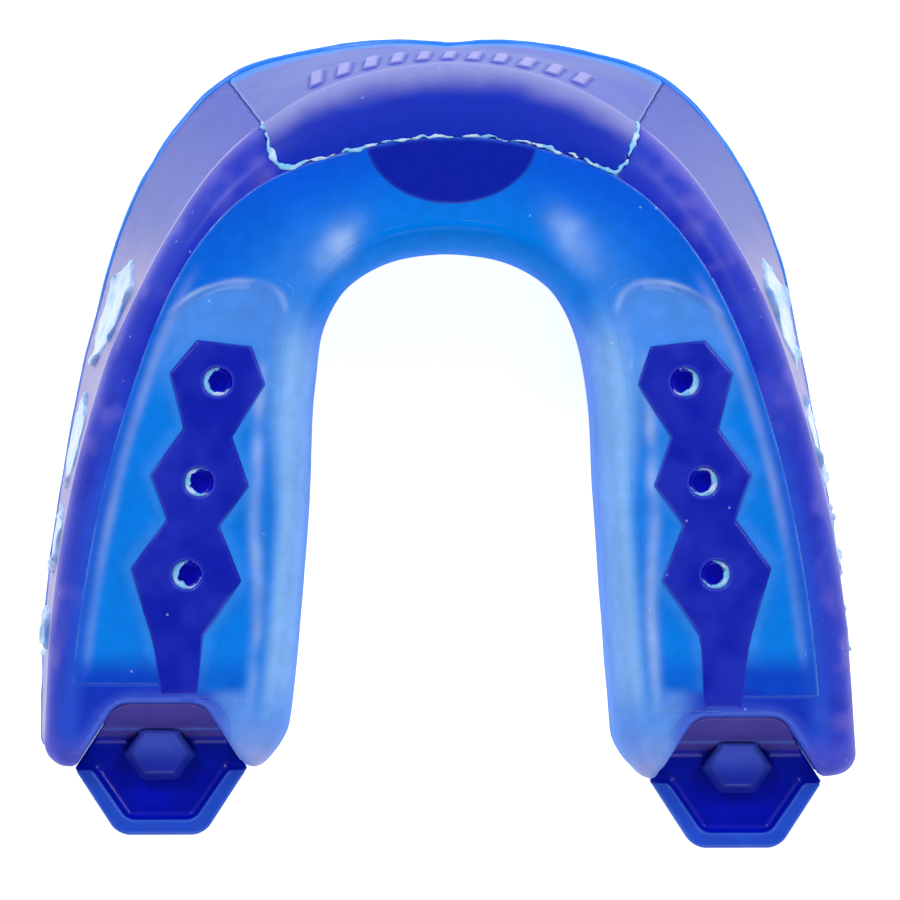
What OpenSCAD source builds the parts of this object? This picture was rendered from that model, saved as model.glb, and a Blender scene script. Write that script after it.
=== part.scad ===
// Mouthguard for the upper teeth: a dark shock frame with a soft gel liner moulded into it.
// It lies on its gum-side rim with the bite face up. +Y points to the front teeth.
// Sections are given as [n, z]: n is the distance outwards from the middle of the arch, z the height.

/* [Overall] */
// Height of the bite face above the surface that the rim rests on
bite_height = 19; // [18:0.5:22]
// Distance between the middles of the two arms at their rear ends
arch_width = 43.4; // [40:0.2:48]
// Length of the arch's middle line from the front to the rear ends
arch_depth = 47.2; // [44:0.2:52]

/* [Shock frame] */
// Thickness of the outer wall
wall = 1.6; // [1.2:0.1:2]
// Thickness of the plate that runs under the gel pads
web = 1.4; // [1:0.1:1.6]
// Depth of the bite face's gel and bars above that plate
pad_depth = 2; // [1.6:0.1:2.4]
// Thickness of the separate front plate
front_plate_t = 0.8; // [0.6:0.1:1]

/* [Gel liner] */
// Thickness of the gel inside the outer wall and under the plate
lining = 1.4; // [1:0.1:1.6]
// Thickness of the gel wall on the tongue side
tongue_wall = 2.4; // [2:0.1:3]
// Height of the tongue-side wall's edge above the surface
tongue_edge_z = 6; // [4:0.5:8]

/* [Bite bars] */
// Radius of the three round holes in each bar
hole_r = 1.15; // [0.8:0.05:1.3]
// Height of the bars above the gel around them
bar_proud = 0.2; // [0:0.1:0.4]

/* [Heel cups] */
// Half of the cup's width
cup_half_w = 6.75; // [6:0.05:7]
// Half of the cup's length
cup_half_l = 5.2; // [4.8:0.05:5.4]
// Width of the cup's lip
cup_lip = 1.3; // [1:0.1:1.6]
// Height of the stud above the cup's floor
stud_h = 1.8; // [1.2:0.1:2.2]

/* [Hidden] */

gap = 0.03;                          // moulded faces are kept this far apart
web_top = bite_height - pad_depth;
web_bottom = web_top - web;
ceiling_z = web_bottom - lining;     // roof of the tooth channel
lip_t = 0.75;                        // gel that wraps under the frame's rim
lip_out = 0.1;                       // how far that gel stands out past the wall
rear_y = -25.2;                      // rear end of the arms
mid_y = 1.36;                        // middle of the whole length, which becomes the origin

frame_blue = [0.12, 0.12, 0.62];
plate_blue = [0.24, 0.24, 0.72];
gel_blue = [0.08, 0.45, 0.92];

// Middle line of the arch: [u, x share of the half width, y share of the depth].
spine_shape = [
    [0, 0, 1], [0.12, 0.304, 0.979], [0.24, 0.562, 0.911], [0.36, 0.737, 0.805],
    [0.5, 0.843, 0.661], [0.66, 0.912, 0.47], [0.82, 0.963, 0.269], [1, 1, 0]
];
// Offsets from the middle line, and heights, along the half arch: [u, value].
rim_n = [[0, 10.8], [0.08, 11.6], [0.15, 12.2], [0.205, 12.8], [0.3, 12], [0.4, 11.1],
    [0.5, 10.5], [0.66, 10.7], [0.82, 11], [1, 11]];
rim_z = [[0, 2.2], [0.06, 1.3], [0.12, 0], [0.24, 0], [0.36, 0.6], [0.5, 1.2], [0.65, 0.8],
    [0.78, 0], [0.95, 0], [1, 0.5]];
crease_n = [[0, 8.5], [0.12, 8.2], [0.24, 7.6], [0.36, 7.3], [0.5, 8], [0.66, 9.1], [0.82, 9.7], [1, 10]];
crease_drop = [[0, 4.5], [0.3, 4], [0.6, 3.4], [1, 3.2]];
gel_n = [[0, 2.4], [0.12, 2.6], [0.2, 3.2], [0.3, 3.8], [0.42, 4.6], [0.5, 5.2], [0.66, 6.2], [1, 6.5]];
tongue_top_n = [[0, -4.2], [0.24, -4.4], [0.36, -4.6], [0.5, -5.2], [0.66, -6.2], [0.82, -6.6], [1, -6.4]];
tongue_n = [[0, -6.4], [0.24, -6.4], [0.36, -6.8], [0.5, -7.4], [0.66, -8.3], [0.82, -8.7], [1, -8.5]];

plate_u = 0.2;        // the front plate's end
tongue_half_w = 6.8;  // half-round piece behind the front plate
tongue_l = 5.2;
pad_front_y = 13.6;   // where the front gel ends and the bite pads begin
cap_u = 0.925;        // where the frame closes over the rear end

// Plan outline of the right bite bar, clockwise from the inner front corner.
bar_outline = [
    [15.5, 8.1], [19.8, 8.6], [22, 6], [20.9, 1.7], [23.5, -1.9], [22.2, -5.4], [25, -9.2], [23.5, -14.2],
    [22.7, -19.4], [19.6, -19.4], [19.2, -14.4], [16.3, -10.2], [18, -5.9], [15.7, -2.8], [17, 1], [14.4, 5.1]
];
bar_holes = [[18.2, 5.3], [19.65, -2.5], [20.6, -9.7]];

cup_centre = [22.3, -25.2];
cup_floor_z = bite_height - 4.4;
cup_floor_t = 1.4;
cup_lip_z = cup_floor_z + 1.4;
ramp_run = 3;
stud_centre = [22.4, -23.7];
stud_half_w = 2.85;
stud_half_l = 2;

// The windows in each side of the wall: [u at the front, u at the rear, lowest z, highest z].
windows = [
    [0.385, 0.525, 4, 13.6], [0.555, 0.685, 3.6, 13.8], [0.705, 0.8, 3.2, 13.8], [0.83, 0.89, 3.2, 13.6]
];

// ---- curves ----

function mirrored(table) = concat(
    [for (i = [len(table) - 1:-1:1]) [-table[i][0], table[i][1]]], table);
function span(table, u, i = 0) = (i >= len(table) - 2 || u < table[i + 1][0]) ? i : span(table, u, i + 1);
function slope(table, i) = let (a = max(i - 1, 0), b = min(i + 1, len(table) - 1))
    (table[b][1] - table[a][1]) / (table[b][0] - table[a][0]);
// Smooth curve through a table's values.
function curve(table, u) = let (
    i = span(table, u), h = table[i + 1][0] - table[i][0], s = (u - table[i][0]) / h
) (2 * s ^ 3 - 3 * s ^ 2 + 1) * table[i][1] + (s ^ 3 - 2 * s ^ 2 + s) * h * slope(table, i)
    + (3 * s ^ 2 - 2 * s ^ 3) * table[i + 1][1] + (s ^ 3 - s ^ 2) * h * slope(table, i + 1);

spine_x = concat(
    [for (i = [len(spine_shape) - 1:-1:1]) [-spine_shape[i][0], -spine_shape[i][1] * arch_width / 2]],
    [for (p = spine_shape) [p[0], p[1] * arch_width / 2]]);
spine_y = mirrored([for (p = spine_shape) [p[0], rear_y + p[2] * arch_depth]]);
function spine(u) = [curve(spine_x, u), curve(spine_y, u)];
function outward(u) = let (d = spine(u + 0.002) - spine(u - 0.002)) [-d[1], d[0]] / norm(d);
function place(u, p) = let (q = spine(u) + outward(u) * p[0]) [q[0], q[1], p[1]];
function even(table, u) = curve(mirrored(table), u);

// ---- the arch's lines ----

function rim_at(u) = [even(rim_n, u), max(0, even(rim_z, u))];
function crease_at(u) = [even(crease_n, u), bite_height - even(crease_drop, u)];
function web_edge(u) = even(tongue_top_n, u) + 1;    // where the frame ends on the tongue side
function gel_edge(u) = abs(u) > cap_u ? web_edge(u) + 0.05 : even(gel_n, u);
// Point on the wall's outer face at height z, moved in by depth.
function wall_at(u, z, depth = 0) = let (
    a = rim_at(u), b = crease_at(u), s = (z - a[1]) / (b[1] - a[1])
) [a[0] + (b[0] - a[0]) * s - depth, z];
// Rounded shoulder between the crease and the bite face, moved in by depth.
function shoulder(u, depth = 0, edge = undef) = let (
    c = crease_at(u), g = is_undef(edge) ? gel_edge(u) : edge,
    run = min(c[0] - g, c[0] - even(gel_n, u)), flat_n = c[0] - run
) concat(
    [for (a = [0:15:90]) [flat_n + (run - depth) * cos(a), c[1] + (bite_height - c[1] - depth) * sin(a)]],
    flat_n - g > 0.2 ? [[g, bite_height - depth]] : [[g + 0.001, bite_height - depth]]);

// ---- lofting ----

function backwards(list) = [for (i = [len(list) - 1:-1:0]) list[i]];

// Closed solid through sections of equal length, one for each station. A section runs out along one
// face and back along the other, so its end is closed by a strip between the two.
module loft(rings) {
    m = len(rings[0]);
    k = len(rings);
    points = [for (r = rings) each r];
    sides = [for (i = [0:k - 2], j = [0:m - 1]) let (
        a = i * m + j, b = i * m + (j + 1) % m, c = a + m, d = b + m
    ) each [[a, c, b], [b, c, d]]];
    strip = [for (j = [0:m / 2 - 2]) each [[j, j + 1, m - 1 - j], [j + 1, m - 2 - j, m - 1 - j]]];
    far = (k - 1) * m;
    ends = concat(strip, [for (f = strip) [f[2] + far, f[1] + far, f[0] + far]]);
    polyhedron(points = points, faces = concat(sides, ends), convexity = 6);
}

// Plan outline that rounds off the rear ends of the arms.
module arm_plan() {
    half = [
        [0, 40], [40, 40], [40, -24.4], [33.6, -24.6], [33.2, -25.8], [32, -26.6], [29, -26.8],
        [17, -26.8], [15.2, -25.9], [13.8, -24], [13, -21.8], [12, -19], [0, -19]
    ];
    polygon(concat(half, [for (i = [len(half) - 2:-1:1]) [-half[i][0], half[i][1]]]));
}
module trimmed() {
    intersection() {
        children();
        translate([0, 0, -5]) linear_extrude(40) arm_plan();
    }
}

function steps(a, b, n) = [for (i = [0:n]) a + (b - a) * i / n];
function both_ways(list) = concat([for (i = [len(list) - 1:-1:0]) -list[i]], list);
half_stations = concat(
    steps(0.015, plate_u, 7), steps(plate_u + 0.002, cap_u, 24), steps(cap_u + 0.002, 1, 3));
stations = both_ways(half_stations);

// ---- shock frame ----

function frame_ring(u) = let (
    in = abs(u) <= plate_u ? front_plate_t + gap : 0,
    low = rim_at(u)[1] + lip_t + gap, c = crease_at(u), g = gel_edge(u),
    inner = wall + (abs(u) <= plate_u ? 0.4 : 0),
    tongue_side = web_edge(u), corner = c[0] - inner,
    heights = [for (s = [0, 0.33, 0.66]) low + (c[1] - low) * s]
) concat(
    [for (z = heights) wall_at(u, z, in)], shoulder(u, in),
    [[g, web_top], [tongue_side, web_top], [tongue_side, web_bottom], [g, web_bottom]],
    [for (s = [0.25, 0.5, 0.75, 0.9]) [g + (corner - 1.6 - g) * s, web_bottom]],
    [[corner - 1.6, web_bottom], [corner - 0.9, web_bottom - 0.15], [corner - 0.4, web_bottom - 0.6]],
    [wall_at(u, web_bottom - 1.6, inner)],
    [for (i = [2:-1:0]) wall_at(u, min(heights[i], web_bottom - 2.4), inner)]);

module shock_frame() {
    color(frame_blue) difference() {
        trimmed() loft([for (u = stations) [for (p = frame_ring(u)) place(u, p)]]);
        for (side = [-1, 1]) {
            cup_space(side);
            for (w = windows) window_block(side, w, -wall - 1.5, 1.5, gap);
        }
    }
}

// Separate plate over the front of the wall, which ends in a line against the gel.
function plate_face(u, depth) = let (low = rim_at(u)[1] + lip_t + gap, c = crease_at(u)) concat(
    [for (s = [0, 0.33, 0.66]) wall_at(u, low + (c[1] - low) * s, depth)], shoulder(u, depth));

module front_plate() {
    color(plate_blue) loft([
        for (u = both_ways(steps(0.015, plate_u - 0.002, 7)))
            [for (p = concat(plate_face(u, 0), backwards(plate_face(u, front_plate_t)))) place(u, p)]
    ]);
}

// Half-round piece of the frame that shows through the gel behind the front plate.
module tongue_shape(grow = 0) {
    intersection() {
        polygon([for (a = [180:10:360]) [
            (tongue_half_w + grow) * cos(a), spine(0)[1] + 2.3 + (tongue_l + grow) * sin(a)
        ]]);
        polygon(concat([[-12, 0], [12, 0]], [for (u = steps(plate_u, -plate_u, 12)) let (
            q = place(u, [gel_edge(u) - gap * 3 + grow, 0])
        ) [q[0], q[1]]]));
    }
}

module front_tongue() {
    color(frame_blue) translate([0, 0, web_top + gap]) linear_extrude(pad_depth - gap) tongue_shape();
}

// ---- gel ----

function liner_ring(u) = let (
    r = rim_at(u), z0 = r[1], low = z0 + lip_t, top = web_bottom - gap,
    skin = wall + (abs(u) <= plate_u ? 0.4 : 0) + gap, inner = skin + lining,
    corner = crease_at(u)[0] - skin, roof_n = corner - lining - 2.4,
    end_n = web_edge(u)
) concat(
    [[r[0] - 0.2, z0], [r[0] + lip_out, z0 + 0.3], [r[0] + lip_out, low - 0.05], wall_at(u, low, skin)],
    [wall_at(u, top - 1.6, skin), [corner - 0.4, top - 0.6], [corner - 0.9, top - 0.15]],
    [[corner - 1.6, top], [end_n, top], [end_n, ceiling_z], [roof_n - 0.6, ceiling_z]],
    [[roof_n, ceiling_z], [roof_n + 1.3, ceiling_z - 0.4], wall_at(u, ceiling_z - 2.4, inner)],
    [wall_at(u, low + 2, inner), wall_at(u, low, inner), wall_at(u, z0 + 0.3, inner)],
    [[r[0] - inner + 0.3, z0]]);

module gel_liner() {
    color(gel_blue) difference() {
        trimmed() loft([for (u = stations) [for (p = liner_ring(u)) place(u, p)]]);
        for (side = [-1, 1]) cup_space(side);
    }
}

// Wall on the tongue side of the tooth channel, rounded over onto the bite face.
function tongue_wall_ring(u) = let (
    t = even(tongue_n, u), t_top = even(tongue_top_n, u), end_n = web_edge(u) - gap,
    edge = min(tongue_edge_z + rim_at(u)[1] / 2, 8), inside = t + tongue_wall,
    h = bite_height
) concat(
    [[inside - 0.7, edge], [inside, edge + 1], [inside + 0.2, ceiling_z - 2], [end_n, ceiling_z]],
    abs(u) > cap_u
        ? [for (s = [1, 0.6, 0.3, 0]) [t_top + (end_n - t_top) * s, h]]
        : [[end_n, web_top], [t_top + gap, web_top], [t_top + gap, h - 1], [t_top, h]],
    [for (a = [72:-18:0]) [t + (t_top - t) * (1 - cos(a)), bite_height - 5 + 5 * sin(a)]],
    [[t, bite_height - 7], [t, edge + 1], [t + 0.7, edge]]);

module tongue_side_wall() {
    color(gel_blue) difference() {
        trimmed() loft([for (u = stations) [for (p = tongue_wall_ring(u)) place(u, p)]]);
        for (side = [-1, 1]) cup_space(side);
    }
}

// Gel that fills the bite face between the frame's shoulder and the tongue-side wall.
function pad_ring(u) = let (a = gel_edge(u) - gap, b = even(tongue_top_n, u) + gap) [
    [a, web_top + gap], [a, bite_height - 0.3], [a - 0.3, bite_height],
    [b, bite_height], [b, bite_height - 0.3], [b, web_top + gap]
];

module pad_loft(u0, u1, n) {
    loft([for (u = steps(u0, u1, n)) [for (p = pad_ring(u)) place(u, p)]]);
}

module front_gel_pad() {
    color(gel_blue) difference() {
        pad_loft(-0.5, 0.5, 32);
        translate([0, 0, web_top - 1]) linear_extrude(pad_depth + 2) {
            tongue_shape(gap);
            translate([-30, pad_front_y - 20]) square([60, 20]);
        }
    }
}

module bite_pad(side) {
    color(gel_blue) on_side(side) difference() {
        pad_loft(0.22, cap_u - 0.002, 20);
        translate([0, 0, web_top - 1]) linear_extrude(pad_depth + 2) {
            polygon(bar_outline);
            translate([0, pad_front_y - gap]) square([40, 20]);
        }
        cup_space(1);
    }
}

module on_side(side) {
    if (side < 0) mirror([1, 0, 0]) children();
    else children();
}

// ---- bite bars ----

module bite_bar(side) {
    color(frame_blue) on_side(side) translate([0, 0, web_top + gap]) difference() {
        linear_extrude(pad_depth + bar_proud - gap) polygon(bar_outline);
        for (h = bar_holes) translate([h[0], h[1], -1]) cylinder(r = hole_r, h = pad_depth + 3, $fn = 48);
    }
}

// ---- heel cups ----

module hexagon(half_w, half_l) {
    polygon([for (i = [0:5]) [half_w * cos(60 * i), half_l * sin(60 * i) / sin(60)]]);
}

// The space that a cup takes out of the arm's rear end.
module cup_space(side) {
    on_side(side) translate([cup_centre[0], cup_centre[1], cup_floor_z - cup_floor_t - gap])
        linear_extrude(12) hexagon(cup_half_w + gap, cup_half_l + gap);
}

module heel_cup(side) {
    color(frame_blue) on_side(side) translate([cup_centre[0], cup_centre[1], 0]) difference() {
        union() {
            translate([0, 0, cup_floor_z - cup_floor_t]) linear_extrude(cup_lip_z - cup_floor_z + cup_floor_t)
                hexagon(cup_half_w, cup_half_l);
            intersection() {
                translate([0, 0, cup_floor_z]) linear_extrude(6) hexagon(cup_half_w, cup_half_l);
                rotate([90, 0, 90]) translate([0, 0, -8]) linear_extrude(16) polygon([
                    [cup_half_l - ramp_run, cup_floor_z - 0.1], [cup_half_l + 1, cup_floor_z - 0.1],
                    [cup_half_l + 1, bite_height - 0.1], [cup_half_l, bite_height - 0.1]
                ]);
            }
        }
        difference() {
            translate([0, 0, cup_floor_z]) linear_extrude(8) {
                hexagon(cup_half_w - cup_lip, cup_half_l - cup_lip * 0.9);
                translate([-cup_half_w, 0]) square([2 * cup_half_w, cup_half_l]);
            }
            rotate([90, 0, 90]) translate([0, 0, -8]) linear_extrude(16) polygon([
                [cup_half_l - ramp_run - cup_lip, cup_floor_z - 1], [cup_half_l + 1, cup_floor_z - 1],
                [cup_half_l + 1, bite_height], [cup_half_l, bite_height - 0.1],
                [cup_half_l - ramp_run - cup_lip, cup_floor_z]
            ]);
        }
        translate([stud_centre[0] - cup_centre[0], stud_centre[1] - cup_centre[1], cup_floor_z])
            linear_extrude(8) hexagon(stud_half_w + gap, stud_half_l + gap);
    }
}

module heel_stud(side) {
    color(plate_blue) on_side(side) translate([stud_centre[0], stud_centre[1], cup_floor_z + gap]) {
        linear_extrude(stud_h - 0.5) hexagon(stud_half_w, stud_half_l);
        linear_extrude(stud_h) hexagon(stud_half_w - 0.5, stud_half_l - 0.45);
    }
}

// ---- side windows ----

// Six-sided block through the wall; from and to are measured outwards from the wall's outer face.
module window_block(side, w, from, to, grow = 0) {
    mid_z = (w[2] + w[3]) / 2;
    point_u = (w[1] - w[0]) * 0.22;
    du = grow / 60;
    corners = [
        [w[0] - du, mid_z], [w[0] + point_u - du, w[3] + grow], [w[1] - point_u + du, w[3] + grow],
        [w[1] + du, mid_z], [w[1] - point_u + du, w[2] - grow], [w[0] + point_u - du, w[2] - grow]
    ];
    ring = [for (c = corners) place(c[0], wall_at(c[0], c[1], -from))];
    far = [for (c = corners) place(c[0], wall_at(c[0], c[1], -to))];
    fan = [for (j = [1:4]) [0, j, j + 1]];
    sides = [for (j = [0:5]) let (b = (j + 1) % 6) each [[j, j + 6, b], [b, j + 6, b + 6]]];
    on_side(side) polyhedron(
        points = concat(ring, far),
        faces = concat(sides, fan, [for (f = fan) [f[2] + 6, f[1] + 6, f[0] + 6]]));
}

module window_plug(side, i) {
    color(gel_blue) window_block(side, windows[i - 1], -wall + 0.25, 0.2);
}

// ---- the whole ----

module placed() {
    translate([0, -mid_y, 0]) children();
}

placed() shock_frame();
placed() front_plate();
placed() front_tongue();
placed() gel_liner();
placed() tongue_side_wall();
placed() front_gel_pad();
placed() bite_pad(-1);  // bite_pad_left
placed() bite_pad(1);  // bite_pad_right
placed() bite_bar(-1);  // bite_bar_left
placed() bite_bar(1);  // bite_bar_right
placed() heel_cup(-1);  // heel_cup_left
placed() heel_cup(1);  // heel_cup_right
placed() heel_stud(-1);  // heel_stud_left
placed() heel_stud(1);  // heel_stud_right
placed() window_plug(-1, 1);  // window_plug_left_1
placed() window_plug(-1, 2);  // window_plug_left_2
placed() window_plug(-1, 3);  // window_plug_left_3
placed() window_plug(-1, 4);  // window_plug_left_4
placed() window_plug(1, 1);  // window_plug_right_1
placed() window_plug(1, 2);  // window_plug_right_2
placed() window_plug(1, 3);  // window_plug_right_3
placed() window_plug(1, 4);  // window_plug_right_4
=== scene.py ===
"""Mouthguard, bite face up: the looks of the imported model.

Shapes are worked out in millimetres, in the frame of the CAD source before it is centred: x to the
right, y to the front teeth, z up, and (u, n) along and outwards from the middle line of the arch.
Each piece is a distance field, negative inside, that is turned into a closed mesh of quads.
"""

import bpy
import numpy as np
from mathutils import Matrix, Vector


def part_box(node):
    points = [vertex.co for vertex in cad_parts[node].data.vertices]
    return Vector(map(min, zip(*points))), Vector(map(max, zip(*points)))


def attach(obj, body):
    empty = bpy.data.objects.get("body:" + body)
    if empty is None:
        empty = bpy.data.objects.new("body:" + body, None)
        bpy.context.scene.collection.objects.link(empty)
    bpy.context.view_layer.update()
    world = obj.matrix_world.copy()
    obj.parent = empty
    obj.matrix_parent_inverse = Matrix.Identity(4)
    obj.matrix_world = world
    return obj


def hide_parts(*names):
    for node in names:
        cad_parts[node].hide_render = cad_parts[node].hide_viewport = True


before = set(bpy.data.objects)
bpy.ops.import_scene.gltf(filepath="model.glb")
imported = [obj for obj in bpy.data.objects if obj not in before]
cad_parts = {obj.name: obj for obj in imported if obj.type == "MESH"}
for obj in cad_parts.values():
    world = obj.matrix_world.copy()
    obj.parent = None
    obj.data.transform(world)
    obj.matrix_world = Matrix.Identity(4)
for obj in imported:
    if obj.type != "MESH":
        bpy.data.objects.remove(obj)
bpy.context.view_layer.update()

# ---- sizes, in mm ----

HEIGHT = 19.0  # of the gel's bite face
BAR_TOP = 19.2
ARCH_WIDTH = 43.4
ARCH_DEPTH = 47.2
REAR_Y = -25.2
MID_Y = 1.36  # middle of the outer box, where the frame has its origin
U_LENGTH = 70.6  # mm of arm for each unit of u at the rear
END_R = 1.8  # rounding of the arms' rear ends
GAP = 0.03  # space between two pieces
TUCK = 0.035  # drop of an edge that is tucked under its neighbour

WALL = 1.6
WEB_TOP = 17.0  # the web is the frame's plate between the tooth channel and the pads
WEB_BOTTOM = 15.6
CEILING = 14.2  # roof of the tooth channel
LINING = 1.4
LIP = 0.75  # height of the gel that wraps under the wall's rim
TONGUE_WALL = 2.4
TONGUE_ROUND = 5  # height of the rounding on top of the tongue-side wall
RECESS_STEP = 0.4  # how much further in the lining lies behind the front plate

PLATE_T = 0.8
PLATE_U = 0.2
PLATE_U_LENGTH = 60  # mm of shoulder for each unit of u at the plate's sides
PLATE_SPLAY = 0.004  # u that the plate gains for each mm inside PLATE_SPLAY_N
PLATE_SPLAY_N = 7.8
MARK_COUNT = 11
MARK_PITCH = 2.1
MARK_U_LENGTH = 80  # mm of plate for each unit of u at the marks
MARK_HALF_W, MARK_HALF_H = 0.62, 2.3
MARK_DROP = 3.6  # of their middle below the crease
MARK_PROUD = 0.22
HALF_ROUND_Y = 24.3
HALF_ROUND_W, HALF_ROUND_L = 6.8, 5.2

PAD_FRONT_Y = 13.6  # the gel rises round the bars only behind this
FRONT_PAD_END_Y = 9.0
TRAY_FRONT_Y = 13.5
TRAY_FRONT_R = 4.2  # rounding of a tray's front corners
TRAY_DEPTH = 0.45
TRAY_SLOPE = 1.25  # width of a tray's sloping side
SEAM_R = 3.0  # rounding of the seam between front pad and bite pads
GEL_END_X = 21.1  # where the line that the gel ends at has a step
GEL_END_Y = (-18.45, -19.6)  # that line, outwards and inwards of the step

HOLE_R = 1.15
HOLE_BOTTOM = 18.0
CROWN = 0.22  # drop of a bar's top at its edge
CRESCENT = (-0.28, 0.1)  # centre of a hole flash's inner edge, from the hole's centre
CRESCENT_R = 0.98
PLUG_U_LENGTH = 62  # mm of wall for each unit of u at the windows
PLUG_DEPTH = WALL - 0.25

CUP = (22.3, -25.2)
CUP_W, CUP_L = 6.75, 5.2  # half sizes
CUP_SIDE_W, CUP_SIDE_L = 1.5, 1.4  # thickness of the sides
CUP_FLOOR = 14.6
CUP_FLOOR_T = 1.4
CUP_LIP_Z = 16.0
RAMP_RISE, RAMP_RUN = 4.3, 3
RAMP_COS = 0.572  # of the ramp's slope
STUD = (22.4, -24.1)
STUD_W, STUD_L = 2.85, 2  # half sizes
STUD_H = 1.75
BUMP = (1.35, 1.75, 1.1)  # middle of a stud's bump, from the stud's middle on the cup's floor
BUMP_R = 0.3

# Tables along the arch: (u, place in mm), but the middle line has (u, share of width, share of depth).
SPINE = [
    (0, 0, 1), (0.12, 0.304, 0.979), (0.24, 0.562, 0.911), (0.36, 0.737, 0.805),
    (0.5, 0.843, 0.661), (0.66, 0.912, 0.47), (0.82, 0.963, 0.269), (1, 1, 0),
]
RIM_N = [
    (0, 10.8), (0.08, 11.6), (0.15, 12.2), (0.205, 12.8), (0.3, 12), (0.4, 11.1), (0.5, 10.5),
    (0.66, 10.7), (0.82, 11), (1, 11),
]
RIM_Z = [
    (0, 2.2), (0.06, 1.3), (0.12, 0), (0.24, 0), (0.36, 0.6), (0.5, 1.2), (0.65, 0.8), (0.78, 0),
    (0.95, 0), (1, 0.5),
]
CREASE_N = [
    (0, 8.5), (0.12, 8.2), (0.24, 7.6), (0.36, 7.3), (0.5, 8), (0.66, 9.1), (0.82, 9.7), (1, 10),
]
CREASE_DROP = [(0, 4.5), (0.3, 4), (0.6, 3.4), (1, 3.2)]
GEL_N = [(0, 2.4), (0.12, 2.6), (0.2, 3.2), (0.3, 3.8), (0.42, 4.6), (0.5, 5.2), (0.66, 6.2), (1, 6.5)]
TONGUE_TOP_N = [
    (0, -4.2), (0.24, -4.4), (0.36, -4.6), (0.5, -5.2), (0.66, -6.2), (0.82, -6.6), (1, -6.4),
]
TONGUE_N = [(0, -6.4), (0.24, -6.4), (0.36, -6.8), (0.5, -7.4), (0.66, -8.3), (0.82, -8.7), (1, -8.5)]
# The right bar's outline and the middles of its holes: (x, y).
BAR = [
    (15.5, 8.1), (19.8, 8.6), (22, 6), (20.9, 1.7), (23.5, -1.9), (22.2, -5.4), (25, -9.2), (23.5, -14.2),
    (22.7, -19.4), (19.6, -19.4), (19.2, -14.4), (16.3, -10.2), (18, -5.9), (15.7, -2.8), (17, 1),
    (14.4, 5.1),
]
HOLES = [(18.2, 5.3), (19.65, -2.5), (20.6, -9.7)]
# The windows: u of the front and rear corners, z of the bottom and top.
WINDOWS = [
    (0.385, 0.525, 4, 13.6), (0.555, 0.685, 3.6, 13.8), (0.705, 0.8, 3.2, 13.8),
    (0.83, 0.89, 3.2, 13.6),
]

# The guard isn't quite symmetric, while the CAD is mirrored. These tables say how many mm further out
# than in the CAD each arm's gel edge and outer wall lie, and how many further in the left tongue side.
GEL_LEFT = [(0, 0), (0.15, 0), (0.3, 0.75), (0.55, 0.75), (0.75, 1.3), (0.9, 1.8), (1, 1.8)]
GEL_RIGHT = [(0, 0), (0.55, 0), (0.75, 0.45), (0.9, 0.9), (1, 0.9)]
WALL_LEFT = [
    (0, 0), (0.06, 0.05), (0.11, 0.15), (0.17, 0.6), (0.28, 0.35), (0.42, 0.2), (0.52, 0.55),
    (0.85, 0.5), (1, 0.2),
]
WALL_RIGHT = [
    (0, 0), (0.06, 0.05), (0.11, 0.15), (0.17, 0.5), (0.28, 0.3), (0.5, 0.15), (0.85, 0.3), (1, 0.2),
]
TONGUE_LEFT = [(0, 0), (0.36, 0), (0.5, 0.4), (0.85, 0.45), (1, 0.1)]
# The same for the left and the right side: how far back the arm's end is, and how far out and back
# the cup is.
END_BACK = (0, 0.85)
CUP_OUT = (0.4, 0.15)
CUP_BACK = (-0.25, 0.85)

# Grid steps of the meshes, in mm.
COARSE = 0.24
FINE = 0.15

# ---- the arch ----


def curve(table, u):
    """Smooth curve through a table's values, the same as the CAD source's."""
    t = np.array(table, float)
    i = np.clip(np.searchsorted(t[:, 0], u, side="right") - 1, 0, len(t) - 2)
    low = np.maximum(np.arange(len(t)) - 1, 0)
    high = np.minimum(np.arange(len(t)) + 1, len(t) - 1)
    slope = (t[high, 1] - t[low, 1]) / (t[high, 0] - t[low, 0])
    h = t[i + 1, 0] - t[i, 0]
    s = (u - t[i, 0]) / h
    value = (2 * s**3 - 3 * s**2 + 1) * t[i, 1] + (s**3 - 2 * s**2 + s) * h * slope[i]
    return value + (3 * s**2 - 2 * s**3) * t[i + 1, 1] + (s**3 - s**2) * h * slope[i + 1]


def mirrored(table, sign=1):
    """The table from -1 to 1, with its values times sign on the left arm."""
    return [(-a, sign * b) for a, b in table[:0:-1]] + list(table)


SPINE_X = mirrored([(a, x * ARCH_WIDTH / 2) for a, x, _ in SPINE], -1)
SPINE_Y = mirrored([(a, REAR_Y + y * ARCH_DEPTH) for a, _, y in SPINE])


def spine(u):
    """Point of the middle line."""
    return np.stack([curve(SPINE_X, u), curve(SPINE_Y, u)], -1)


def outward(u):
    """Direction square to the middle line, away from the opening."""
    d = spine(u + 0.002) - spine(u - 0.002)
    d = d / np.linalg.norm(d, axis=-1, keepdims=True)
    return np.stack([-d[..., 1], d[..., 0]], -1)


LOOKUP_LOW = (-37, -34)
LOOKUP_HIGH = (37.1, 37.1)
LOOKUP_STEP = 0.5


def make_lookup():
    """(u, n) of the points of a plan grid, found at the nearest point of the middle line."""
    xs, ys = (np.arange(a, b, LOOKUP_STEP) for a, b in zip(LOOKUP_LOW, LOOKUP_HIGH))
    us = np.linspace(-1.2, 1.2, 1201)
    s, o = spine(us), outward(us)
    along = np.stack([o[:, 1], -o[:, 0]], -1)
    speed = np.linalg.norm(np.gradient(s, us, axis=0), axis=1)
    table = np.zeros((len(xs), len(ys), 2))
    for i, x in enumerate(xs):
        d = np.stack([np.full(len(ys), x), ys], -1)[:, None, :] - s[None]
        k = np.argmin((d**2).sum(-1), 1)
        near = d[np.arange(len(ys)), k]
        table[i, :, 0] = us[k] + (near * along[k]).sum(-1) / speed[k]
        table[i, :, 1] = (near * o[k]).sum(-1)
    return table


LOOKUP = make_lookup()


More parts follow.
